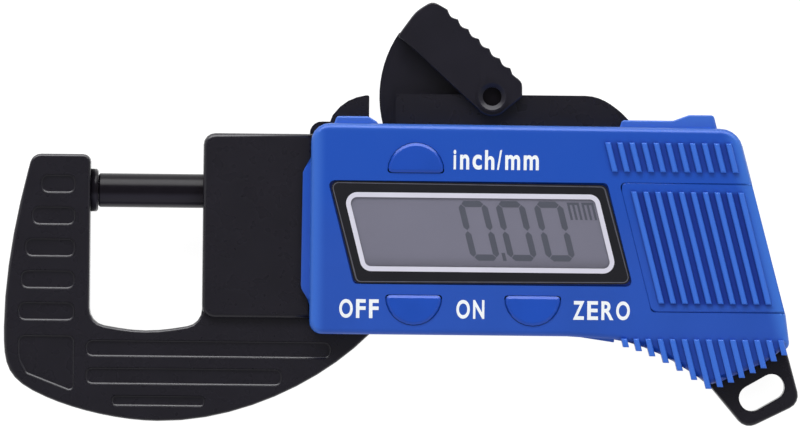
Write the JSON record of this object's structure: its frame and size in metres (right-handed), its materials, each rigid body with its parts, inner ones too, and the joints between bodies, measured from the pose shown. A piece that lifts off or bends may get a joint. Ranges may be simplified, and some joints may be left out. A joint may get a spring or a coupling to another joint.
{
  "type": "digital thickness gauge",
  "caption": "Pocket digital thickness gauge with C-frame, sprung spindle, thumb lever, LCD housing, buttons and sliding battery cover.",
  "frame": {"origin": "on the housing's flat back, straight behind the spindle line and 72 mm from the anvil's measuring face", "axes": "+X along the spindle, away from the anvil; +Y towards the thumb lever; +Z out of the display"},
  "size_m": [0.1353, 0.0717, 0.0189],
  "materials": {
    "black_casting": "satin black enamel on a die casting",
    "black_plastic": "satin moulded plastic",
    "blue_plastic": "semi-gloss moulded plastic",
    "button_blue": "semi-gloss moulded plastic",
    "ground_steel": "ground",
    "black_steel": "ground and blackened steel",
    "plated_steel": "nickel plated",
    "spring_steel": "drawn wire and strip",
    "brass": "turned",
    "lens_black": "clear acrylic with a dark printed border",
    "lcd_grey": "polarised glass",
    "board_green": "solder-masked laminate",
    "chip_black": "moulded epoxy",
    "connector_rubber": "striped conductive rubber",
    "carriage_plastic": "moulded acetal"
  },
  "bodies": {
    "root": {"frame": "black_casting", "anvil": "black_steel", "spindle_bush": "brass", "spring_guide": "brass", "lever_pivot_pin": "black_steel", "front_housing": "blue_plastic", "rear_housing": "black_plastic", "display_lens": "lens_black", "lcd_panel": "lcd_grey", "lcd_connector": "connector_rubber", "circuit_board": "board_green", "measuring_chip": "chip_black", "unit_switch_dome": "plated_steel", "power_switch_dome": "plated_steel", "zero_switch_dome": "plated_steel", "battery_cell": "plated_steel", "battery_contact_negative": "spring_steel", "battery_contact_positive": "spring_steel", "housing_screw_1": "plated_steel", "housing_screw_2": "plated_steel", "housing_screw_3": "plated_steel", "housing_screw_4": "plated_steel", "board_screw_1": "plated_steel", "board_screw_2": "plated_steel"},
    "spindle": {"spindle": "black_steel", "carriage": "carriage_plastic", "drive_pin": "ground_steel", "scale_strip": "board_green", "return_spring": "spring_steel"},
    "lever": {"thumb_lever": "black_plastic"},
    "unit_button": {"unit_button": "button_blue"},
    "power_button": {"power_button": "button_blue"},
    "zero_button": {"zero_button": "button_blue"},
    "battery_cover": {"battery_cover": "blue_plastic"}
  },
  "joints": [
    {"name": "lever_press", "type": "hinge", "parent": "root", "child": "lever", "pos_m": [-0.0051, 0.0166, 0.009], "axis": [0, 0, 1], "range_deg": [0, 41.84]},
    {"name": "spindle_slide", "type": "slide", "parent": "root", "child": "spindle", "axis": [1, 0, 0], "range_m": [0, 0.0127], "stiffness_N_per_m": 40, "springref_m": -0.008, "deforming": ["return_spring"]},
    {"name": "unit_button_press", "type": "slide", "parent": "root", "child": "unit_button", "axis": [0, 0, -1], "range_m": [0, 0.0005], "stiffness_N_per_m": 400},
    {"name": "power_button_press", "type": "slide", "parent": "root", "child": "power_button", "axis": [0, 0, -1], "range_m": [0, 0.0005], "stiffness_N_per_m": 400},
    {"name": "zero_button_press", "type": "slide", "parent": "root", "child": "zero_button", "axis": [0, 0, -1], "range_m": [0, 0.0005], "stiffness_N_per_m": 400},
    {"name": "battery_cover_slide", "type": "slide", "parent": "root", "child": "battery_cover", "axis": [1, 0, 0], "range_m": [0, 0.028]}
  ],
  "couplings": [
    {"joint": "lever_press", "follows": "spindle_slide", "rad_per_m": 57.49}
  ]
}
